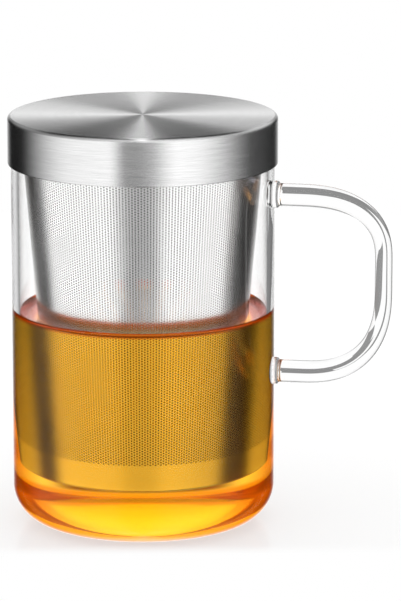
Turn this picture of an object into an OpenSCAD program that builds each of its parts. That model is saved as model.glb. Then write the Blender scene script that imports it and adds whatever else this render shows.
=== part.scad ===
// Glass tea mug with a lift-out steel infuser and a lift-off steel cap.
// The origin is the centre of the flat underside, +Z is up and the handle lies along +X.

/* [Glass cup] */
// Outer diameter of the cup
cup_d = 85; // [76:1:96]
// Height of the cup's rim above the table
cup_h = 130; // [110:1:150]
// Thickness of the side wall
cup_wall = 2.4; // [2:0.1:3.2]
// Thickness of the floor
cup_floor = 3; // [2.4:0.1:6]
// Radius of the outer corner between wall and underside
cup_corner_r = 12; // [9:1:16]
// Radius of the inner corner between wall and floor
cup_hollow_r = 10; // [7:1:14]

/* [Handle] */
// Distance from the rim down to the middle of the upper leg
handle_drop = 21.3; // [18:0.1:30]
// Distance between the middles of the two legs
handle_span = 58; // [52:0.1:70]
// Clear depth between the cup and the handle's upright
handle_gap = 33.1; // [30:0.1:38]
// Diameter of the glass rod where it leaves the cup
handle_leg_d = 7.4; // [6:0.1:9]
// Thickness of the upright, measured away from the cup
handle_limb_t = 5.6; // [5:0.1:8]
// Width of the upright, measured across the thumb
handle_limb_w = 8.2; // [7:0.1:10]
// Height of the upper bend
handle_bend_top = 20; // [16:1:22]
// Height of the lower bend
handle_bend_low = 28; // [22:1:29]
// Depth of both bends, measured away from the cup
handle_bend_x = 27; // [22:1:28]
// Extra radius of the pad where the rod is fused to the cup
weld_flare = 0.7; // [0.4:0.1:1.5]
// Thickness of that pad
weld_l = 1.5; // [1:0.1:3]
// Length over which the pad narrows to the rod
weld_ease = 0.8; // [0.6:0.1:2]

/* [Infuser] */
// Clear height between the cup's floor and the underside of the infuser
infuser_floor_gap = 13.7; // [8:0.1:25]
// Outer diameter of the infuser at its underside
infuser_foot_d = 59.4; // [50:0.1:66]
// Thickness of the perforated sheet
infuser_sheet = 0.4; // [0.3:0.1:0.6]
// Thickness of the solid bottom pan
pan_t = 0.5; // [0.4:0.1:0.8]
// Height of the pan's upturned edge inside the sheet
pan_edge_h = 3; // [2:0.1:5]
// Thickness of the collar's flange and sleeve
collar_t = 0.6; // [0.5:0.1:0.9]
// Length of the collar's sleeve below its flange
collar_sleeve_h = 6; // [4:0.1:8]
// Overhang that the sheet's top leaves bare inside the sleeve
collar_bare_h = 1; // [0.5:0.1:2]

/* [Lid] */
// Outside diameter of the lid beyond the cup's outside
lid_overhang = 2; // [1.8:0.1:4]
// Height of the lid's outside
lid_h = 15.4; // [13:0.1:22]
// Thickness of the lid's outer sheet
lid_sheet = 0.6; // [0.4:0.1:0.7]
// Radius of the lid's top edge
lid_edge_r = 1.3; // [1:0.1:2.5]
// Thickness of the liner under the lid's top
liner_sheet = 0.5; // [0.4:0.1:0.7]
// Depth of the liner's plug below its flange
plug_depth = 6.6; // [5.5:0.1:9]
// Height that the liner's lip keeps under the seal
lip_out = 0.8; // [0.5:0.1:1.1]
// Thickness of the seal's sleeve around the plug
seal_t = 1.6; // [1.3:0.1:2.4]
// Thickness of the seal's flange over the collar
seal_flange_t = 1; // [0.8:0.1:1.5]
// Radius of the two soft ribs around the seal
seal_rib_r = 0.5; // [0.4:0.1:0.6]

/* [Clearances] */
// Gap between the cup's rim and the collar's flange
seat_gap = 0.3; // [0.2:0.1:0.4]
// Gap between the collar's flange and the seal's flange
lid_gap = 0.3; // [0.2:0.1:0.4]
// Gap between the cup's bore and the collar's sleeve
slip_gap = 0.6; // [0.4:0.1:0.9]
// Gap between the seal's sleeve and the infuser's mouth
seal_gap = 0.4; // [0.3:0.1:0.5]
// Gap between the lid's skirt and the flanges inside it
skirt_gap = 0.5; // [0.4:0.1:0.7]

/* [Hidden] */

$fn = 96;
ARC_STEPS = 8;
HANDLE_SIDES = 20;
LEG_RINGS = 12;
BEND_RINGS = 22;
BEND_POWER = 2.5;
LEG_SPREAD = 1.4;
SINK = 1.2;

cup_r = cup_d / 2;
cup_bore_r = cup_r - cup_wall;

sleeve_r = cup_bore_r - slip_gap;
mouth_r = sleeve_r - collar_t;
flange_z = cup_h + seat_gap;
collar_top_z = flange_z + collar_t;
sleeve_z = flange_z - collar_sleeve_h;
pan_z = cup_floor + infuser_floor_gap;
foot_r = infuser_foot_d / 2;
sheet_lean = (mouth_r - foot_r) / (sleeve_z - pan_z);

lid_r = cup_r + lid_overhang / 2;
skirt_bore_r = lid_r - lid_sheet;
flange_r = skirt_bore_r - skirt_gap;
seal_flange_z = collar_top_z + lid_gap;
liner_flange_z = seal_flange_z + seal_flange_t;
lid_ceiling_z = liner_flange_z + liner_sheet;
lid_top_z = lid_ceiling_z + lid_sheet;
seal_r = mouth_r - infuser_sheet - seal_gap;
plug_r = seal_r - seal_t;
plug_z = liner_flange_z - plug_depth;

handle_top_z = cup_h - handle_drop;
handle_low_z = handle_top_z - handle_span;
limb_x = cup_r + handle_gap + handle_limb_t / 2;
bend_x = limb_x - handle_bend_x;

// Points of a quarter circle about [x, y], from angle a to angle b
function arc(x, y, r, a, b) = [
    for (i = [0:ARC_STEPS])
        let (t = a + (b - a) * i / ARC_STEPS)
        [x + r * cos(t), y + r * sin(t)]
];

// Outer radius of the tapered sheet at height z
function sheet_r(z) = foot_r + sheet_lean * (z - pan_z);

// A signed power, so that a bend is squarer than a circle
function squarish(v) = sign(v) * pow(abs(v), 2 / BEND_POWER);

// Places of the rings along a leg, closer together at the cup
leg_places = [
    for (i = [0:LEG_RINGS])
        cup_r - SINK + (bend_x - cup_r + SINK) * pow(i / (LEG_RINGS + 1), LEG_SPREAD)
];

// Middle line of the handle in its own plane, from the upper fused end to the lower one
handle_line = concat(
    [for (i = [0:LEG_RINGS]) [leg_places[i], handle_top_z]],
    [for (i = [0:BEND_RINGS])
        let (t = 90 - 90 * i / BEND_RINGS)
        [bend_x + handle_bend_x * squarish(cos(t)),
            handle_top_z - handle_bend_top + handle_bend_top * squarish(sin(t))]],
    [for (i = [0:BEND_RINGS])
        let (t = -90 * i / BEND_RINGS)
        [bend_x + handle_bend_x * squarish(cos(t)),
            handle_low_z + handle_bend_low + handle_bend_low * squarish(sin(t))]],
    [for (i = [LEG_RINGS:-1:0]) [leg_places[i], handle_low_z]]
);

// Share of the upright's section, 0 on the legs and 1 at the upright
function limb_share(p) = pow(max(0, (p[0] - bend_x) / handle_bend_x), 2);

// Extra radius close to the cup, where the hot rod has spread to a pad
function swell(p) =
    let (past = min(1, max(0, (p[0] - cup_r - weld_l) / weld_ease)))
    weld_flare * (1 + cos(180 * past)) / 2;

// Direction of the middle line at point i
function along(i) =
    let (a = handle_line[max(0, i - 1)], b = handle_line[min(len(handle_line) - 1, i + 1)])
    (b - a) / norm(b - a);

// One ring of the rod's oval section, square to the middle line
function handle_ring(i) =
    let (p = handle_line[i], d = along(i), s = limb_share(p), w = swell(p))
    let (t = handle_leg_d / 2 + (handle_limb_t - handle_leg_d) / 2 * s + w)
    let (y = handle_leg_d / 2 + (handle_limb_w - handle_leg_d) / 2 * s + w)
    [for (k = [0:HANDLE_SIDES - 1])
        let (q = 360 * k / HANDLE_SIDES)
        [p[0] - d[1] * t * cos(q), y * sin(q), p[1] + d[0] * t * cos(q)]];

// Blown cup with a thick floor, round corners and a fire-polished rim
module glass_cup() {
    floor_r = cup_r - cup_corner_r;
    hollow_floor_r = cup_bore_r - cup_hollow_r;
    rim_r = cup_wall / 2;
    color([0.86, 0.92, 0.92, 0.45])
    rotate_extrude()
    polygon(concat(
        [[0, 0]],
        arc(floor_r, cup_corner_r, cup_corner_r, -90, 0),
        arc(cup_r - rim_r, cup_h - rim_r, rim_r, 0, 180),
        arc(hollow_floor_r, cup_floor + cup_hollow_r, cup_hollow_r, 0, -90),
        [[0, cup_floor]]
    ));
}

// Drawn glass rod, bent to a D and fused to the cup at both ends
module glass_handle() {
    rings = len(handle_line);
    points = [for (i = [0:rings - 1]) each handle_ring(i)];
    sides = [
        for (i = [0:rings - 2])
        for (k = [0:HANDLE_SIDES - 1])
        let (n = (k + 1) % HANDLE_SIDES, a = i * HANDLE_SIDES, b = a + HANDLE_SIDES)
        each [[a + k, b + k, b + n], [a + k, b + n, a + n]]
    ];
    first_end = [for (k = [0:HANDLE_SIDES - 1]) k];
    last_end = [for (k = [HANDLE_SIDES - 1:-1:0]) (rings - 1) * HANDLE_SIDES + k];
    color([0.84, 0.9, 0.9, 0.5])
    difference() {
        polyhedron(points, concat([first_end], sides, [last_end]));
        cylinder(r = cup_r, h = cup_h);
    }
}

// Perforated sheet, rolled to a cone with a straight band at its top
module infuser_sheet_wall() {
    foot_z = pan_z + pan_t;
    band_top_z = flange_z - collar_bare_h;
    color([0.74, 0.75, 0.76])
    rotate_extrude()
    polygon([
        [sheet_r(foot_z) - infuser_sheet, foot_z],
        [sheet_r(foot_z), foot_z],
        [mouth_r, sleeve_z],
        [mouth_r, band_top_z],
        [mouth_r - infuser_sheet, band_top_z],
        [mouth_r - infuser_sheet, sleeve_z]
    ]);
}

// Solid bottom, with an upturned edge that is welded inside the sheet
module infuser_pan() {
    edge_z = pan_z + pan_t;
    edge_top_z = edge_z + pan_edge_h;
    color([0.7, 0.71, 0.72])
    rotate_extrude()
    polygon([
        [0, pan_z],
        [foot_r, pan_z],
        [sheet_r(edge_z), edge_z],
        [sheet_r(edge_z) - infuser_sheet, edge_z],
        [sheet_r(edge_top_z) - infuser_sheet, edge_top_z],
        [sheet_r(edge_top_z) - infuser_sheet - pan_t, edge_top_z],
        [sheet_r(edge_z) - infuser_sheet - pan_t, edge_z],
        [0, edge_z]
    ]);
}

// Turned collar that hangs the infuser on the cup's rim
module infuser_collar() {
    color([0.78, 0.79, 0.8])
    rotate_extrude()
    polygon([
        [mouth_r, sleeve_z],
        [sleeve_r, sleeve_z],
        [sleeve_r, flange_z],
        [flange_r, flange_z],
        [flange_r, collar_top_z],
        [mouth_r, collar_top_z]
    ]);
}

// Deep-drawn cap with a flat spun top and a straight skirt
module lid_shell() {
    bottom_z = lid_top_z - lid_h;
    inner_edge_r = lid_edge_r - lid_sheet;
    color([0.66, 0.67, 0.68])
    rotate_extrude()
    polygon(concat(
        [[skirt_bore_r, bottom_z], [lid_r, bottom_z]],
        arc(lid_r - lid_edge_r, lid_top_z - lid_edge_r, lid_edge_r, 0, 90),
        [[0, lid_top_z], [0, lid_ceiling_z]],
        arc(lid_r - lid_edge_r, lid_top_z - lid_edge_r, inner_edge_r, 90, 0)
    ));
}

// Pressed liner, fixed under the lid's top, with a lip that keeps the seal
module lid_liner() {
    liner_flange_r = lid_r - lid_edge_r - skirt_gap;
    plug_bore_r = plug_r - liner_sheet;
    color([0.72, 0.73, 0.74])
    rotate_extrude()
    polygon([
        [0, plug_z],
        [plug_r + lip_out, plug_z],
        [plug_r + lip_out, plug_z + liner_sheet],
        [plug_r, plug_z + liner_sheet],
        [plug_r, liner_flange_z],
        [liner_flange_r, liner_flange_z],
        [liner_flange_r, lid_ceiling_z],
        [plug_bore_r, lid_ceiling_z],
        [plug_bore_r, plug_z + liner_sheet],
        [0, plug_z + liner_sheet]
    ]);
}

// Soft ring around the plug, with a flange that rests on the collar and two ribs
module lid_seal() {
    sleeve_low_z = plug_z + liner_sheet;
    rib_z = (seal_flange_z + sleeve_low_z) / 2;
    rib_pitch = (seal_flange_z - sleeve_low_z) / 3;
    rib_sink = seal_gap / 2;
    color([0.93, 0.94, 0.94])
    rotate_extrude()
    union() {
        polygon([
            [plug_r, sleeve_low_z],
            [seal_r, sleeve_low_z],
            [seal_r, seal_flange_z],
            [flange_r - skirt_gap, seal_flange_z],
            [flange_r - skirt_gap, liner_flange_z],
            [plug_r, liner_flange_z]
        ]);
        for (side = [-1, 1])
            translate([seal_r + rib_sink - seal_rib_r, rib_z + side * rib_pitch / 2])
            circle(r = seal_rib_r, $fn = 24);
    }
}

glass_cup();
glass_handle();
infuser_sheet_wall();
infuser_pan();
infuser_collar();
lid_shell();
lid_liner();
lid_seal();
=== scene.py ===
from math import atan2, cos, degrees, exp, pi, radians, sin

import bmesh
import bpy
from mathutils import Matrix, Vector


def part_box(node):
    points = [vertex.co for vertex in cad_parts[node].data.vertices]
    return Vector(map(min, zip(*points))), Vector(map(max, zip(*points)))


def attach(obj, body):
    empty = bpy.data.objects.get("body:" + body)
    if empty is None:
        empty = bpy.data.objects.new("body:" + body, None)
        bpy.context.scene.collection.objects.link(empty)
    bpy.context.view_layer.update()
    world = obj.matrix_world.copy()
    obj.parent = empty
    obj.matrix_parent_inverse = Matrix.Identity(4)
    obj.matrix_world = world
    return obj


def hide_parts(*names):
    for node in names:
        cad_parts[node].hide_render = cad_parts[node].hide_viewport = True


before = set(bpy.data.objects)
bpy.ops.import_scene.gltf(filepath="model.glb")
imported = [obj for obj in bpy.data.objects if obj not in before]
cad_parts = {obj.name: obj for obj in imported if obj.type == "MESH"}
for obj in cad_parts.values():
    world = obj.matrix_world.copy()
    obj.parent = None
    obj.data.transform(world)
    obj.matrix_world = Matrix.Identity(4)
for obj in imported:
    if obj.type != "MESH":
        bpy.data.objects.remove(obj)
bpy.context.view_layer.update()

MM = 0.001

# Sizes that the frame gives, in metres
CUP_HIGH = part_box("glass_cup")[1]
CUP_R = CUP_HIGH.x
CUP_TOP = CUP_HIGH.z
HANDLE_LOW, HANDLE_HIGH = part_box("glass_handle")
PAN_LOW, PAN_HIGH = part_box("infuser_pan")
COLLAR_LOW, COLLAR_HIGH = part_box("infuser_collar")
SHELL_LOW, SHELL_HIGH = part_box("lid_shell")
LINER_LOW, LINER_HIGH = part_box("lid_liner")
SEAL_LOW, SEAL_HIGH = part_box("lid_seal")
SHEET_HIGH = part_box("infuser_sheet_wall")[1]
MOUTH_R = SHEET_HIGH.x
FOOT_R = PAN_HIGH.x
SLEEVE_Z = COLLAR_LOW.z

# Walls and radii of the glass
CUP_WALL = 2.4 * MM
CUP_FLOOR = 3 * MM
CUP_CORNER_R = 12 * MM
CUP_HOLLOW_R = 10 * MM
BORE_R = CUP_R - CUP_WALL

# The handle's rod, its two bends and its fused ends
LEG_D = 7.4 * MM
LIMB_T = 5.6 * MM
LIMB_W = 8.2 * MM
BEND_X = 27 * MM
BEND_TOP = 20 * MM
BEND_LOW = 28 * MM
BEND_POWER = 2.5
WELD_FLARE = 0.7 * MM
WELD_L = 1.5 * MM
WELD_EASE = 0.8 * MM
WELD_SINK = 0.9 * MM
ROD_SIDES = 48
LEG_RINGS = 18
LEG_RING_CROWDING = 1.4
BEND_RINGS = 26

# Steel sheets and the seal
SHEET_T = 0.4 * MM
PAN_T = 0.5 * MM
PAN_EDGE_H = 3 * MM
COLLAR_T = 0.6 * MM
LID_SHEET = 0.6 * MM
LID_EDGE_R = 1.3 * MM
LINER_SHEET = 0.5 * MM
LIP_OUT = 0.8 * MM
SEAL_FLANGE_T = 1 * MM
SEAL_T = 1.6 * MM
SEAL_RIB_R = 0.2 * MM
SEAL_GAP = 0.4 * MM
SEAL_SLEEVE_R = MOUTH_R - SHEET_T - SEAL_GAP - SEAL_T

# The perforation: staggered round holes between two plain margins
HOLE_COLUMNS = 246
FIRST_ROWS = 16
ROW_CUTS = 14
HOLE_ROWS = FIRST_ROWS * ROW_CUTS
HOLE_R = 0.27 * MM
HOLES_FROM_Z = 25.4 * MM
HOLES_TO_Z = 121 * MM
HOLE_PITCH = (HOLES_TO_Z - HOLES_FROM_Z) / HOLE_ROWS
ROUND_HOLE_PROFILE = 0.086
SHEET_SECTORS = 6

# The tea
TEA_LEVEL = 68.3 * MM
TEA_SINK = 0.05 * MM
MENISCUS_H = 2.2 * MM
MENISCUS_L = 1.5 * MM
MENISCUS_STEPS = 12

SPIN_STEPS = 240
SMOOTH_ANGLE = radians(35)
GLASS_SMOOTH_ANGLE = radians(60)

# The photograph's view
CAMERA_AZIMUTH = radians(11)
CAMERA_DISTANCE = 1.35
CAMERA_HEIGHT = 0.3763
CAMERA_PITCH = radians(12.70)
CAMERA_YAW = radians(0.787)
CAMERA_LENS = 255.9
LIGHT_BOUNCES = 32

# The studio's floor and cards
FLOOR_R = 0.5
FLOOR_GAP = 0.2 * MM
FLOOR_WHITE_FROM = -47 * MM
FLOOR_WHITE_TO = -33 * MM

WHITE = (1, 1, 1, 1)
BLACK = (0, 0, 0, 1)
DIM_MIRROR = (0.1, 0.1, 0.1, 1)


def grey(value):
    return value, value, value, 1


# ---- Modelling ----

def deselect():
    if bpy.context.object and bpy.context.object.mode != "OBJECT":
        bpy.ops.object.mode_set(mode="OBJECT")
    bpy.ops.object.select_all(action="DESELECT")


def activate(piece):
    deselect()
    piece.select_set(True)
    bpy.context.view_layer.objects.active = piece


def arc(x, z, r, start, end, steps=8):
    """Points of a circular arc about (x, z), with its angles in degrees."""
    angles = [radians(start + (end - start) * i / steps) for i in range(steps + 1)]
    return [(x + r * cos(a), z + r * sin(a)) for a in angles]


def single_vertex(name, at):
    """An object of one vertex, ready in edit mode."""
    deselect()
    bpy.ops.mesh.primitive_plane_add(size=MM)
    piece = bpy.context.object
    piece.name = piece.data.name = name
    bpy.ops.object.mode_set(mode="EDIT")
    bpy.ops.mesh.select_mode(type="VERT")
    bpy.ops.mesh.select_all(action="SELECT")
    bpy.ops.mesh.merge(type="CENTER")
    bpy.ops.transform.translate(value=at)
    return piece


def finish_smooth(piece, angle):
    """Smooth shading in which the flats keep their own direction."""
    activate(piece)
    bpy.ops.object.shade_smooth_by_angle(angle=angle)
    bpy.ops.object.modifier_add(type="WEIGHTED_NORMAL")
    piece.modifiers[-1].keep_sharp = True
    bpy.ops.object.modifier_apply(modifier=piece.modifiers[-1].name)


def turned(name, outline, angle=SMOOTH_ANGLE):
    """A piece turned on the cup's axis from an outline of (radius, height) points."""
    places = [Vector((r, 0, z)) for r, z in outline]
    piece = single_vertex(name, places[0])
    for before, after in zip(places, places[1:]):
        bpy.ops.mesh.extrude_region_move(TRANSFORM_OT_translate={"value": after - before})
    bpy.ops.mesh.select_all(action="SELECT")
    bpy.ops.mesh.spin(steps=SPIN_STEPS, angle=2 * pi, center=(0, 0, 0), axis=(0, 0, 1))
    bpy.ops.mesh.select_all(action="SELECT")
    bpy.ops.mesh.remove_doubles(threshold=MM / 1000)
    bpy.ops.mesh.normals_make_consistent(inside=False)
    bpy.ops.object.mode_set(mode="OBJECT")
    finish_smooth(piece, angle)
    return piece


def sheet_r(z):
    """Outer radius of the tapered sheet at height z."""
    return FOOT_R + (MOUTH_R - FOOT_R) * (z - PAN_LOW.z) / (SLEEVE_Z - PAN_LOW.z)


def glass_cup():
    rim = CUP_WALL / 2
    return turned("cup", [
        (0, 0),
        *arc(CUP_R - CUP_CORNER_R, CUP_CORNER_R, CUP_CORNER_R, -90, 0, 20),
        *arc(CUP_R - rim, CUP_TOP - rim, rim, 0, 180, 12),
        *arc(BORE_R - CUP_HOLLOW_R, CUP_FLOOR + CUP_HOLLOW_R, CUP_HOLLOW_R, 0, -90, 16),
        (0, CUP_FLOOR)], GLASS_SMOOTH_ANGLE)


def handle_line():
    """Middle line of the handle as (x, z), from the upper fused end to the lower one, and
    where its bends begin."""
    def squarish(v):
        return (1 if v >= 0 else -1) * abs(v) ** (2 / BEND_POWER)

    top_z = HANDLE_HIGH.z - LEG_D / 2 - WELD_FLARE
    low_z = HANDLE_LOW.z + LEG_D / 2 + WELD_FLARE
    bend_x = HANDLE_HIGH.x - LIMB_T / 2 - BEND_X
    weld_x = CUP_R - WELD_SINK
    leg = [weld_x + (bend_x - weld_x) * (i / LEG_RINGS) ** LEG_RING_CROWDING
           for i in range(LEG_RINGS)]
    quarter = [radians(90 * i / BEND_RINGS) for i in range(BEND_RINGS + 1)]
    line = [(x, top_z) for x in leg]
    line += [(bend_x + BEND_X * squarish(sin(t)), top_z - BEND_TOP + BEND_TOP * squarish(cos(t)))
             for t in quarter]
    line += [(bend_x + BEND_X * squarish(cos(t)), low_z + BEND_LOW - BEND_LOW * squarish(sin(t)))
             for t in quarter]
    line += [(x, low_z) for x in reversed(leg)]
    return line, bend_x


def glass_handle():
    """The glass rod, pulled ring by ring along its line."""
    line, bend_x = handle_line()
    deselect()
    bpy.ops.mesh.primitive_circle_add(vertices=ROD_SIDES, radius=1, fill_type="NOTHING",
                                      rotation=(0, pi / 2, 0))
    piece = bpy.context.object
    piece.name = piece.data.name = "handle"
    bpy.ops.object.transform_apply(location=True, rotation=True, scale=True)
    bpy.ops.object.mode_set(mode="EDIT")
    bpy.ops.mesh.select_all(action="SELECT")
    last = len(line) - 1

    def section(i):
        """Half thickness and half width of ring i."""
        x, z = line[i]
        share = max(0, (x - bend_x) / BEND_X) ** 2
        past_weld = min(1, max(0, (x - CUP_R - WELD_L) / WELD_EASE))
        swell = WELD_FLARE * (1 + cos(pi * past_weld)) / 2
        return (LEG_D / 2 + (LIMB_T - LEG_D) / 2 * share + swell,
                LEG_D / 2 + (LIMB_W - LEG_D) / 2 * share + swell)

    def heading(i):
        (x0, z0), (x1, z1) = line[max(0, i - 1)], line[min(last, i + 1)]
        return atan2(z1 - z0, x1 - x0)

    thick, wide = section(0)
    at = Vector((line[0][0], 0, line[0][1]))
    bpy.ops.transform.resize(value=(thick, wide, thick))
    bpy.ops.transform.translate(value=at)
    bpy.ops.mesh.edge_face_add()
    turn, size = heading(0), (thick, wide)
    for i in range(1, last + 1):
        step = Vector((line[i][0], 0, line[i][1])) - at
        at = at + step
        bpy.ops.mesh.extrude_region_move(TRANSFORM_OT_translate={"value": step})
        bpy.ops.transform.rotate(value=heading(i) - turn, orient_axis="Y", center_override=at)
        thick, wide = section(i)
        grow = thick / size[0]
        bpy.ops.transform.resize(value=(grow, wide / size[1], grow), center_override=at)
        turn, size = heading(i), (thick, wide)
    bpy.ops.mesh.select_all(action="SELECT")
    bpy.ops.mesh.normals_make_consistent(inside=False)
    bpy.ops.object.mode_set(mode="OBJECT")
    finish_smooth(piece, GLASS_SMOOTH_ANGLE)
    # The steel doesn't mirror the handle
    piece.visible_glossy = False
    return piece


def pick(piece, kind, wanted):
    """Selects the vertices, edges or faces of the edited piece that wanted says yes to."""
    mesh = bmesh.from_edit_mesh(piece.data)
    for group in (mesh.verts, mesh.edges, mesh.faces):
        for item in group:
            item.select = False
    for item in getattr(mesh, kind):
        item.select = wanted(item)
    mesh.select_flush_mode()
    bmesh.update_edit_mesh(piece.data)


def hole_grid():
    """The sheet as a grid with a crossing at each place for a hole, and its plain margins."""
    bpy.ops.mesh.primitive_cone_add(vertices=HOLE_COLUMNS, radius1=sheet_r(HOLES_FROM_Z),
                                    radius2=sheet_r(HOLES_TO_Z), depth=HOLES_TO_Z - HOLES_FROM_Z,
                                    end_fill_type="NOTHING",
                                    location=(0, 0, (HOLES_FROM_Z + HOLES_TO_Z) / 2))
    sheet = bpy.context.object
    sheet.name = sheet.data.name = "infuser_sheet"
    bpy.ops.object.transform_apply(location=True, rotation=True, scale=True)
    bpy.ops.object.mode_set(mode="EDIT")
    bpy.ops.mesh.select_mode(type="EDGE")
    for rows in (FIRST_ROWS, ROW_CUTS):
        pick(sheet, "edges", lambda e: abs(e.verts[0].co.z - e.verts[1].co.z) > HOLE_PITCH / 2)
        bpy.ops.mesh.subdivide(number_cuts=rows - 1)

    def extend(from_z, to_z, grow):
        """Draws the open edge at from_z out to to_z, with its radius grown by a factor."""
        pick(sheet, "edges", lambda e: all(abs(v.co.z - from_z) < HOLE_PITCH / 10 for v in e.verts))
        bpy.ops.mesh.extrude_region_move(TRANSFORM_OT_translate={"value": (0, 0, to_z - from_z)})
        bpy.ops.transform.resize(value=(grow, grow, 1), center_override=(0, 0, to_z))

    foot_z = PAN_LOW.z + PAN_T
    extend(HOLES_FROM_Z, foot_z, sheet_r(foot_z) / sheet_r(HOLES_FROM_Z))
    extend(HOLES_TO_Z, SLEEVE_Z, MOUTH_R / sheet_r(HOLES_TO_Z))
    # The straight band inside the collar
    extend(SLEEVE_Z, SHEET_HIGH.z, 1)
    return sheet


def perforated_sheet():
    """The infuser's sheet with every hole cut, as sectors that stay light enough to keep whole."""
    deselect()
    sheet = hole_grid()

    def is_hole(v):
        """Every other crossing of the grid is a hole. The cone's first column lies at +Y."""
        row = (v.co.z - HOLES_FROM_Z) / HOLE_PITCH
        column = degrees(atan2(v.co.x, v.co.y)) / 360 * HOLE_COLUMNS
        return 0.5 < row < HOLE_ROWS - 0.5 and (round(row) + round(column)) % 2 == 0

    bpy.ops.mesh.select_mode(type="VERT")
    pick(sheet, "verts", is_hole)
    bpy.ops.mesh.bevel(affect="VERTICES", offset=HOLE_R, segments=2, profile=ROUND_HOLE_PROFILE)
    bpy.ops.mesh.select_mode(type="FACE")
    bpy.ops.mesh.delete(type="FACE")
    bpy.ops.mesh.select_all(action="SELECT")
    bpy.ops.mesh.normals_make_consistent(inside=False)
    bpy.ops.object.mode_set(mode="OBJECT")
    bpy.ops.object.modifier_add(type="SOLIDIFY")
    sheet.modifiers[-1].thickness = SHEET_T
    sheet.modifiers[-1].offset = -1
    bpy.ops.object.modifier_apply(modifier=sheet.modifiers[-1].name)
    bpy.ops.object.shade_smooth_by_angle(angle=SMOOTH_ANGLE)

    sectors = [sheet]
    for k in range(1, SHEET_SECTORS):
        activate(sheet)
        bpy.ops.object.mode_set(mode="EDIT")
        bpy.ops.mesh.select_mode(type="FACE")
        low, high = 360 / SHEET_SECTORS * k, 360 / SHEET_SECTORS * (k + 1)

        def in_sector(f):
            centre = f.calc_center_median()
            return low < degrees(atan2(centre.y, centre.x)) % 360 < high

        pick(sheet, "faces", in_sector)
        bpy.ops.mesh.separate(type="SELECTED")
        bpy.ops.object.mode_set(mode="OBJECT")
        part = next(o for o in bpy.context.selected_objects if o is not sheet)
        part.name = part.data.name = f"infuser_sheet_{k + 1}"
        sectors.append(part)
    return sectors


def infuser_pan():
    edge_z = PAN_LOW.z + PAN_T
    top_z = edge_z + PAN_EDGE_H
    edge_r, top_r = sheet_r(edge_z) - SHEET_T, sheet_r(top_z) - SHEET_T
    return turned("pan", [
        (0, PAN_LOW.z),
        *arc(FOOT_R - PAN_T / 2, PAN_LOW.z + PAN_T / 2, PAN_T / 2, -90, 60, 6),
        (edge_r, edge_z),
        (top_r, top_z),
        (top_r - PAN_T, top_z),
        *arc(edge_r - 2 * PAN_T, edge_z + PAN_T, PAN_T, 0, -90, 5),
        (0, edge_z)])


def infuser_collar():
    sleeve_r = MOUTH_R + COLLAR_T
    flange_z = COLLAR_HIGH.z - COLLAR_T
    half = COLLAR_T / 2
    return turned("collar", [
        (MOUTH_R, SLEEVE_Z),
        (sleeve_r, SLEEVE_Z),
        (sleeve_r, flange_z),
        *arc(COLLAR_HIGH.x - half, flange_z + half, half, -90, 90, 8),
        *arc(MOUTH_R + half, COLLAR_HIGH.z - half, half, 90, 180, 5),
        (MOUTH_R, SLEEVE_Z)])


def lid_shell():
    ceiling = SHELL_HIGH.z - LID_SHEET
    corner = (SHELL_HIGH.x - LID_EDGE_R, SHELL_HIGH.z - LID_EDGE_R)
    lip = LID_SHEET / 2
    return turned("shell", [
        *arc(SHELL_HIGH.x - lip, SHELL_LOW.z + lip, lip, -180, 0, 8),
        *arc(*corner, LID_EDGE_R, 0, 90, 10),
        (0, SHELL_HIGH.z),
        (0, ceiling),
        *arc(*corner, LID_EDGE_R - LID_SHEET, 90, 0, 6),
        (SHELL_HIGH.x - LID_SHEET, SHELL_LOW.z + lip)])


def lid_liner():
    plug_r = SEAL_SLEEVE_R
    low, top = LINER_LOW.z, LINER_HIGH.z
    flange = top - LINER_SHEET
    half = LINER_SHEET / 2
    return turned("liner", [
        (0, low),
        *arc(plug_r + LIP_OUT - half, low + half, half, -90, 90, 8),
        (plug_r, low + LINER_SHEET),
        (plug_r, flange),
        (LINER_HIGH.x, flange),
        (LINER_HIGH.x, top),
        (plug_r - LINER_SHEET, top),
        (plug_r - LINER_SHEET, low + LINER_SHEET),
        (0, low + LINER_SHEET)])


def lid_seal():
    low, top = SEAL_LOW.z, SEAL_HIGH.z
    flange = top - SEAL_FLANGE_T
    half = SEAL_FLANGE_T / 2
    outer = SEAL_SLEEVE_R + SEAL_T
    middle, pitch = (low + flange) / 2, (flange - low) / 3
    return turned("seal", [
        (SEAL_SLEEVE_R, low),
        (outer, low),
        *[point for side in (-1, 1)
          for point in arc(outer, middle + side * pitch / 2, SEAL_RIB_R, -90, 90, 6)],
        (outer, flange),
        *arc(SEAL_HIGH.x - half, top - half, half, -90, 90, 8),
        (SEAL_SLEEVE_R, top),
        (SEAL_SLEEVE_R, low)])


def tea():
    """The liquid, a hair wider than the bore, so that glass and tea share one boundary."""
    side_r = BORE_R + TEA_SINK
    surface = []
    for i in range(MENISCUS_STEPS + 1):
        back = MENISCUS_L * 5 * (i / MENISCUS_STEPS) ** 2
        surface.append((side_r - back, TEA_LEVEL + MENISCUS_H * exp(-back / MENISCUS_L)))
    return turned("tea", [
        (0, CUP_FLOOR - TEA_SINK),
        *arc(BORE_R - CUP_HOLLOW_R, CUP_FLOOR + CUP_HOLLOW_R, CUP_HOLLOW_R + TEA_SINK, -90, 0, 16),
        *surface,
        (0, surface[-1][1])], GLASS_SMOOTH_ANGLE)


# ---- Shaders ----

class Socket:
    """A shader output that reads like a number."""

    def __init__(self, shader, output):
        self.shader, self.output = shader, output

    def math(self, operation, *others):
        values = {i: v for i, v in enumerate((self, *others))}
        return self.shader.add("ShaderNodeMath", values, operation=operation)

    def __add__(self, other): return self.math("ADD", other)
    def __mul__(self, other): return self.math("MULTIPLY", other)
    def __sub__(self, other): return self.math("SUBTRACT", other)
    def __rsub__(self, other): return (self * -1).math("ADD", other)
    def __truediv__(self, other): return self.math("DIVIDE", other)
    def __pow__(self, other): return self.math("POWER", other)


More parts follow.
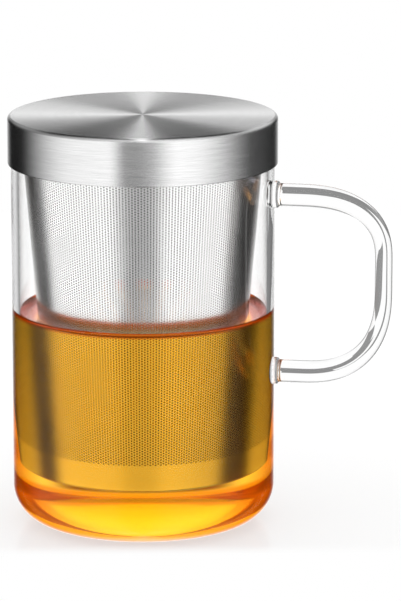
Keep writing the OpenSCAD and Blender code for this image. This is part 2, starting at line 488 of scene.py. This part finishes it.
class Shader:
    """The node tree of a material or of the world."""

    def __init__(self, owner):
        owner.use_nodes = True
        self.tree = owner.node_tree
        self.tree.nodes.clear()

    def add(self, kind, values=None, out=0, **settings):
        """One node. Its settings come first, then its sockets' values or links."""
        node = self.tree.nodes.new(kind)
        for name, value in settings.items():
            setattr(node, name, value)
        for name, value in (values or {}).items():
            if isinstance(value, Socket):
                self.tree.links.new(value.output, node.inputs[name])
            else:
                node.inputs[name].default_value = value
        return Socket(self, node.outputs[out]) if node.outputs else node

    def split(self, vector):
        return [self.add("ShaderNodeSeparateXYZ", {0: vector}, out=i) for i in range(3)]

    def join(self, x, y, z):
        return self.add("ShaderNodeCombineXYZ", {0: x, 1: y, 2: z})

    def mix(self, factor, a, b):
        return self.add("ShaderNodeMix", {0: factor, 6: a, 7: b}, out=2, data_type="RGBA")

    def noise(self, vector, scale, detail=2.0, roughness=0.5):
        return self.add("ShaderNodeTexNoise", {"Vector": vector, "Scale": scale, "Detail": detail,
                                               "Roughness": roughness})

    def bump(self, height, strength, distance, **more):
        return self.add("ShaderNodeBump", {"Height": height, "Strength": strength,
                                           "Distance": distance, **more})

    def step(self, value, low, high):
        """0 below low, 1 above high, and smooth between."""
        return self.add("ShaderNodeMapRange", {"Value": value, "From Min": low, "From Max": high},
                        interpolation_type="SMOOTHSTEP")

    def band(self, value, low, low_soft, high, high_soft):
        """1 between low and high, with edges that are soft to either side."""
        return self.step(value, low - low_soft, low + low_soft) * (
            1 - self.step(value, high - high_soft, high + high_soft))

    def place(self):
        return self.add("ShaderNodeTexCoord", out="Object")

    def from_axis(self):
        """Place on the object as x, y, z and the distance from the cup's axis."""
        x, y, z = self.split(self.place())
        return x, y, z, (x * x + y * y) ** 0.5

    def light_path(self, name):
        return self.add("ShaderNodeLightPath", out=name)

    def glow(self, colour, strength=1.0):
        return self.add("ShaderNodeEmission", {"Color": colour, "Strength": strength})

    def surface(self, shader, output="ShaderNodeOutputMaterial"):
        self.add(output, {"Surface": shader})


def principled(shader, **values):
    names = {name: name.replace("_", " ").title().replace("Ior", "IOR") for name in values}
    return shader.add("ShaderNodeBsdfPrincipled", {names[n]: v for n, v in values.items()})


def around(shader, lengthwise, across):
    """Noise drawn out round the axis, as brush lines on a turned piece."""
    x, y, z, radius = shader.from_axis()
    vector = shader.join(x / radius * lengthwise, y / radius * lengthwise, (radius - z) * across)
    return shader.noise(vector, 1.0, 3.0, 0.6)


def turned_steel(name, dark, light, rough, anisotropy, dome):
    """Brushed steel whose fine lines run round the axis. A dome swells its shading only."""
    material = bpy.data.materials.new(name)
    s = Shader(material)
    fine = around(s, 5.0, 5200.0)
    broad = around(s, 1.5, 700.0)
    x, y, z, radius = s.from_axis()
    swell = s.bump((x * x + y * y) * (-0.5 * dome / SHELL_HIGH.x), 1.0, 1.0)
    lines = s.bump(fine, 0.35, 0.004 * MM, Normal=swell)
    # Painted shade: the base colour of the lid's rolled edge is darkened against its flats, to dim
    # the highlight that it catches
    ease = 0.6 * LID_EDGE_R
    edge_painted_shade = s.step(radius, SHELL_HIGH.x - LID_EDGE_R, SHELL_HIGH.x - ease) * s.step(
        z, SHELL_HIGH.z - LID_EDGE_R, SHELL_HIGH.z - ease)
    tone = s.mix(fine * 0.7 + broad * 0.3, grey(dark), grey(light))
    s.surface(principled(s, base_color=s.mix(edge_painted_shade * 0.8, tone, grey(0.2)), metallic=1.0,
                         roughness=fine * 0.06 + rough, anisotropic=anisotropy,
                         anisotropic_rotation=0.25, normal=lines))
    return material


def sheet_steel():
    """The satin steel of the perforated sheet."""
    material = bpy.data.materials.new("infuser_steel")
    s = Shader(material)
    grain = s.noise(s.place(), 1400.0, 2.0, 0.6)
    cloud = s.noise(s.place(), 60.0, 2.0, 0.5)
    # Painted shade: inside, the closed infuser's steel is darkened in its base colour
    _, _, z, radius = s.from_axis()
    wall = (z - PAN_LOW.z) * ((MOUTH_R - FOOT_R) / (SLEEVE_Z - PAN_LOW.z)) + FOOT_R
    inside_painted_shade = s.step(radius - wall.math("MINIMUM", MOUTH_R), -0.4 * SHEET_T, -0.8 * SHEET_T)
    steel = s.mix(grain * 0.5 + cloud * 0.5, (0.66, 0.66, 0.655, 1), (0.76, 0.76, 0.755, 1))
    s.surface(principled(s, base_color=s.mix(inside_painted_shade, steel, grey(0.14)), metallic=1.0,
                         roughness=cloud * 0.08 + 0.2, normal=s.bump(grain, 0.15, 0.02 * MM)))
    return material


def clear_glass():
    """Blown glass with the faint waves of the flame."""
    material = bpy.data.materials.new("clear_glass")
    s = Shader(material)
    waves = s.noise(s.place(), 55.0, 1.0, 0.4)
    s.surface(principled(s, base_color=WHITE, roughness=0.0, ior=1.47, specular_tint=DIM_MIRROR,
                         transmission_weight=1.0, normal=s.bump(waves, 0.3, 0.2 * MM)))
    return material


def brewed_tea():
    """Clear amber liquid."""
    material = bpy.data.materials.new("tea")
    s = Shader(material)
    swirl = s.noise(s.place(), 25.0, 2.0, 0.5)
    _, _, z, radius = s.from_axis()
    # Painted reflection: the tea's top surface is tinted pale and glows faintly
    tea_top_painted_light = s.step(z, TEA_LEVEL - 0.3 * MM, TEA_LEVEL - 0.1 * MM) * (
        1 - s.step(radius, BORE_R - 0.6 * MM, BORE_R - 0.2 * MM))
    # Painted shade and light: where the tea climbs the glass it is tinted deep red and glows
    # faintly, as a dark red line along the glass
    meniscus_painted_light = s.step(z, TEA_LEVEL + 0.2 * MM, TEA_LEVEL + 0.5 * MM)
    amber = s.mix(swirl, (1.0, 0.51, 0.035, 1), (1.0, 0.56, 0.05, 1))
    # Painted light: towards the base the tea is tinted a lighter yellow, in place of light from
    # below
    tint = s.mix(s.step(z, 8 * MM, 15 * MM), (1.0, 0.86, 0.10, 1), amber)
    tint = s.mix(tea_top_painted_light, tint, (1.0, 0.75, 0.5, 1))
    tint = s.mix(meniscus_painted_light, tint, (0.8, 0.15, 0.01, 1))
    # Painted light: glow painted into the tea's base, on its surface and along the glass, in place
    # of the light that wanders in the tea
    glow = s.mix(s.step(z, 7 * MM, 17 * MM), (0.15, 0.03, 0.002, 1), BLACK)
    glow = s.mix(tea_top_painted_light, glow, (0.08, 0.06, 0.045, 1))
    glow = s.mix(meniscus_painted_light, glow, (0.035, 0.012, 0.001, 1))
    liquid = principled(s, base_color=tint, roughness=0.0, ior=1.333, transmission_weight=1.0,
                        specular_tint=DIM_MIRROR, emission_color=glow, emission_strength=1.0)
    depth = s.add("ShaderNodeVolumeAbsorption", {"Color": (1.0, 0.7, 0.1, 1), "Density": 6.0})
    s.add("ShaderNodeOutputMaterial", {"Surface": liquid, "Volume": depth})
    return material


def silicone():
    material = bpy.data.materials.new("seal_silicone")
    s = Shader(material)
    mottle = s.noise(s.place(), 300.0, 3.0, 0.5)
    s.surface(principled(s, base_color=s.mix(mottle, (0.72, 0.74, 0.74, 1), (0.82, 0.84, 0.84, 1)),
                         roughness=mottle * 0.2 + 0.4))
    return material


# ---- The studio ----

class Ray:
    """What the studio can tell of a ray: its direction, and the surfaces that it has met."""

    def __init__(self, s):
        x, y, self.z = s.split(s.add("ShaderNodeTexCoord", out="Generated"))
        self.falls = self.z * -1
        # Seen from the camera, side and angle are positive towards its right, and the angle
        # is 0 on the camera's own side
        self.side = x * cos(CAMERA_AZIMUTH) + y * sin(CAMERA_AZIMUTH)
        depth = x * -sin(CAMERA_AZIMUTH) + y * cos(CAMERA_AZIMUTH)
        self.angle = self.side.math("ARCTAN2", depth * -1) * (180 / pi)
        self.away = self.angle.math("ABSOLUTE")
        self.rising = s.step(self.z, 0.0, 0.1)
        # The rod of the handle is two surfaces, the cup with air inside four, and with tea more
        surfaces = s.light_path("Transmission Depth")
        self.in_glass, self.in_cup, self.in_tea = (
            surfaces.math("GREATER_THAN", least - 0.5) for least in (1, 3, 5))
        mirrors = s.light_path("Glossy Depth")
        self.once, self.twice = (mirrors.math("GREATER_THAN", least - 0.5) for least in (1, 2))


def lid_view(s, ray):
    """What the turned steel shows: boxes around, a narrow strip overhead, dark between."""
    low = 1 - s.step(ray.z, 0.07, 0.42)
    boxes = s.band(ray.angle, -95, 32, -22, 8) * 1.5 + s.band(ray.angle, 16, 15, 75, 35) * 1.48
    boxes = boxes + s.band(ray.angle, -22, 8, 16, 15) * 0.22 + s.step(ray.away, 150, 188) * 1.7
    sides = s.step(ray.angle, -2, 2) * 1.23 + 0.8
    sides = sides * (1 - s.step(ray.z, 0.535, 0.74)) * (1 - s.step(ray.away, 158, 172))
    strip = 1 - s.step((ray.side + 0.013).math("ABSOLUTE"), 0.021, 0.096)
    overhead = strip * s.step(ray.z, 0.65, 0.81) * 3.34
    front = (1 - s.step(ray.away, 23, 109)) * s.step(ray.z, 0.2, 0.5) * (
        1 - s.step(ray.z, 0.85, 0.98)) * 2.5
    value = boxes * low + sides * (1 - low) + overhead + front
    return s.join(value, value, value)


def infuser_view(s, ray):
    """What the sheet shows in air and in the tea, and what total reflection shows in the base."""
    left = s.band(ray.angle, -112, 8, -24, 10) * (1.65 - ray.in_tea * 0.15)
    right = s.band(ray.angle, 16, 10, 97, 8) * (
        1.65 - ray.in_tea * (s.step(ray.angle, 30, 95) * 0.45 + 0.15))
    middle = s.band(ray.angle, -24, 10, 16, 10) * (ray.in_tea * 0.6 + 0.57)
    back = s.step(ray.away, 138, 160) * (1.3 - ray.in_tea * 0.35)
    value = (left + right + middle + back + 0.05) * (1 - ray.twice * (1 - ray.rising) * 0.9)
    foot = (0.4, 0.42, 0.5, 1)
    sheet = s.mix(ray.in_tea * s.step(ray.falls, 0.5, 0.7), s.join(value, value, value), foot)

    base = s.mix(s.step(ray.away, 110, 160), (1.0, 0.33, 0.06, 1), (1.6, 1.2, 0.4, 1))
    base = s.mix(ray.rising * (1 - ray.twice), (0.5, 0.32, 0.22, 1), base)
    past_handle = s.band(ray.angle, 24, 8, 118, 6) * ray.rising
    base = s.mix(past_handle, base, (0.22, 0.2, 0.18, 1))
    return s.mix(ray.in_tea * ray.rising.math("MAXIMUM", ray.twice), sheet, base)


def clear_view(s, ray):
    """What is seen through clear glass, and through the tea."""
    sides = (1 - s.band(ray.angle, -150, 6, -112, 8) * 0.75) * (
        1 - s.band(ray.angle, 105, 8, 143, 5) * 0.5)
    value = sides * (1 - s.step(ray.z, 0.52, 0.62) * 0.75) * (
        1 - s.step(ray.falls, 0.9, 0.98) * 0.5)
    # Straight behind the cup lies the far side of the sheet, with its holes
    value = value * (ray.in_cup * 0.3 + 1) * (1 - ray.in_cup * s.step(ray.away, 171, 176) * 0.85)
    liquid = s.mix(1 - s.step(ray.away, 125, 165), (1.3, 1.3, 1.1, 1), (1.0, 0.5, 0.3, 1))
    liquid = s.mix(ray.rising, liquid, (1.1, 0.55, 0.13, 1))
    behind = s.step(ray.away, 150, 165) * (1 - ray.rising) * (
        1 - s.step(ray.falls, 0.3, 0.5) * 0.4)
    liquid = s.mix(behind, liquid, (0.16, 0.09, 0.05, 1))
    return s.mix(ray.in_tea, s.join(value, value, value), liquid)


def studio():
    """White background, with soft boxes and dark cards that the steel and the glass show."""
    world = bpy.data.worlds.new("studio")
    bpy.context.scene.world = world
    s = Shader(world)
    ray = Ray(s)
    steel = s.mix(ray.in_glass, lid_view(s, ray), infuser_view(s, ray))
    seen = s.mix(ray.once, clear_view(s, ray), steel)
    plain = s.mix(s.light_path("Is Diffuse Ray"), seen, grey(0.95))
    colour = s.mix(s.light_path("Is Camera Ray"), plain, WHITE)
    light = s.add("ShaderNodeBackground", {"Color": colour, "Strength": 1.0})
    s.surface(light, "ShaderNodeOutputWorld")


def card(name, corners, shade):
    """A grey card glowing near the floor behind the mug, painted shade in place of the darker floor
    there, which only the handle's rod shows.
    """
    deselect()
    (x0, y0), (x1, y1) = corners
    bpy.ops.mesh.primitive_plane_add(size=1)
    plane = bpy.context.object
    plane.name = plane.data.name = name
    bpy.ops.transform.resize(value=(x1 - x0, y1 - y0, 1))
    bpy.ops.transform.translate(value=((x0 + x1) / 2, (y0 + y1) / 2, FLOOR_GAP))
    bpy.ops.transform.rotate(value=-CAMERA_AZIMUTH, orient_axis="Z", center_override=(0, 0, 0))
    bpy.ops.object.transform_apply(location=True, rotation=True, scale=True)
    plane.visible_camera = plane.visible_glossy = False
    plane.visible_diffuse = plane.visible_shadow = False
    material = bpy.data.materials.new(name)
    s = Shader(material)
    clear = s.add("ShaderNodeBsdfTransparent", {"Color": WHITE})
    past_rod = s.light_path("Transmission Depth").math("GREATER_THAN", 2.5)
    s.surface(s.add("ShaderNodeMixShader", {0: past_rod, 1: s.glow(grey(shade)), 2: clear}))
    plane.data.materials.append(material)


def floor():
    """A pale floor that only keeps the object's shadow."""
    deselect()
    bpy.ops.mesh.primitive_circle_add(vertices=96, radius=FLOOR_R, fill_type="NGON",
                                      location=(0, 0, -FLOOR_GAP))
    plane = bpy.context.object
    plane.name = "floor"
    bpy.ops.object.transform_apply(location=True, rotation=True, scale=True)
    plane.visible_glossy = plane.visible_transmission = plane.visible_diffuse = False
    material = bpy.data.materials.new("floor_white")
    s = Shader(material)
    matte = s.add("ShaderNodeBsdfDiffuse", {"Color": grey(0.36)})
    sheen = s.add("ShaderNodeBsdfGlossy", {"Color": grey(0.16), "Roughness": 0.2})
    lit = s.add("ShaderNodeAddShader", {0: matte, 1: s.glow(WHITE, 0.6)})
    lit = s.add("ShaderNodeAddShader", {0: lit, 1: sheen})
    # In front of the mug the floor fades into the white background
    x, y, _ = s.split(s.place())
    depth = y * cos(CAMERA_AZIMUTH) - x * sin(CAMERA_AZIMUTH)
    kept = s.step(depth, FLOOR_WHITE_FROM, FLOOR_WHITE_TO)
    s.surface(s.add("ShaderNodeMixShader", {0: kept, 1: s.glow(WHITE), 2: lit}))
    plane.data.materials.append(material)


def camera():
    turn = CAMERA_AZIMUTH
    bpy.ops.object.camera_add(
        location=(CAMERA_DISTANCE * sin(turn), -CAMERA_DISTANCE * cos(turn), CAMERA_HEIGHT),
        rotation=(pi / 2 - CAMERA_PITCH, 0, turn - CAMERA_YAW))
    lens = bpy.context.object
    lens.data.lens = CAMERA_LENS
    lens.data.clip_start, lens.data.clip_end = 0.05, 20
    bpy.context.scene.camera = lens


# ---- The object ----

def dress(piece, material, body, slot, *nodes):
    """Gives a finished piece its material and its body, and hides the node that it stands for. The
    slot is not used.
    """
    piece.data.materials.clear()
    piece.data.materials.append(material)
    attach(piece, body)
    if nodes:
        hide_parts(*nodes)


deselect()
camera()
glass = clear_glass()
lid_steel = turned_steel("lid_steel", 0.43, 0.77, rough=0.22, anisotropy=1.0, dome=0.12)
liner_steel = turned_steel("liner_steel", 0.5, 0.65, rough=0.28, anisotropy=0.5, dome=0.0)
infuser_steel = sheet_steel()

dress(glass_cup(), glass, "mug", "clear_glass", "glass_cup")
dress(glass_handle(), glass, "mug", "clear_glass", "glass_handle")
dress(tea(), brewed_tea(), "mug", "tea")
for sector in perforated_sheet():
    dress(sector, infuser_steel, "infuser", "infuser_steel", "infuser_sheet_wall")
dress(infuser_pan(), infuser_steel, "infuser", "infuser_steel", "infuser_pan")
dress(infuser_collar(), infuser_steel, "infuser", "infuser_steel", "infuser_collar")
dress(lid_shell(), lid_steel, "lid", "lid_steel", "lid_shell")
dress(lid_liner(), liner_steel, "lid", "liner_steel", "lid_liner")
dress(lid_seal(), silicone(), "lid", "seal_silicone", "lid_seal")

studio()
floor()
card("card_behind", ((-0.12, 0.115), (0.11, 0.23)), 0.27)
card("card_leg", ((0.044, 0.23), (0.074, 0.40)), 0.27)
card("card_bend", ((0.095, 0.1), (0.15, 0.2)), 0.3)
card("card_right", ((0.16, 0.2), (0.29, 0.46)), 0.3)
scene = bpy.context.scene
scene.view_settings.view_transform = "Standard"
scene.cycles.max_bounces = scene.cycles.transmission_bounces = LIGHT_BOUNCES
